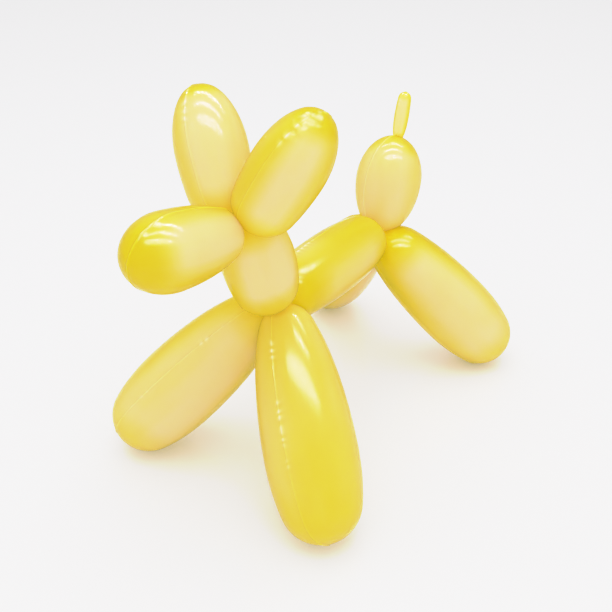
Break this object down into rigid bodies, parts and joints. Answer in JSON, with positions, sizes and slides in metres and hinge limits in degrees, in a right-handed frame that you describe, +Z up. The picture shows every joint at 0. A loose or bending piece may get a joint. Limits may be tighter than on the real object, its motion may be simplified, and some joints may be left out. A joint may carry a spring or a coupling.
{
  "type": "balloon dog",
  "caption": "Inflated balloon-dog ornament: a yellow film tube pinched into snout, ears, neck, legs, body and tail, standing on its feet.",
  "frame": {"origin": "on the ground between the four feet, under the middle of the dog", "axes": "+Z up, the dog faces -Y, +X is its left side"},
  "size_m": [0.1982, 0.3215, 0.2562],
  "materials": {
    "pearl_yellow_film": "pearly satin-gloss inflated film, lemon yellow"
  },
  "bodies": {
    "root": {"balloon_dog": "pearl_yellow_film"}
  },
  "joints": []
}
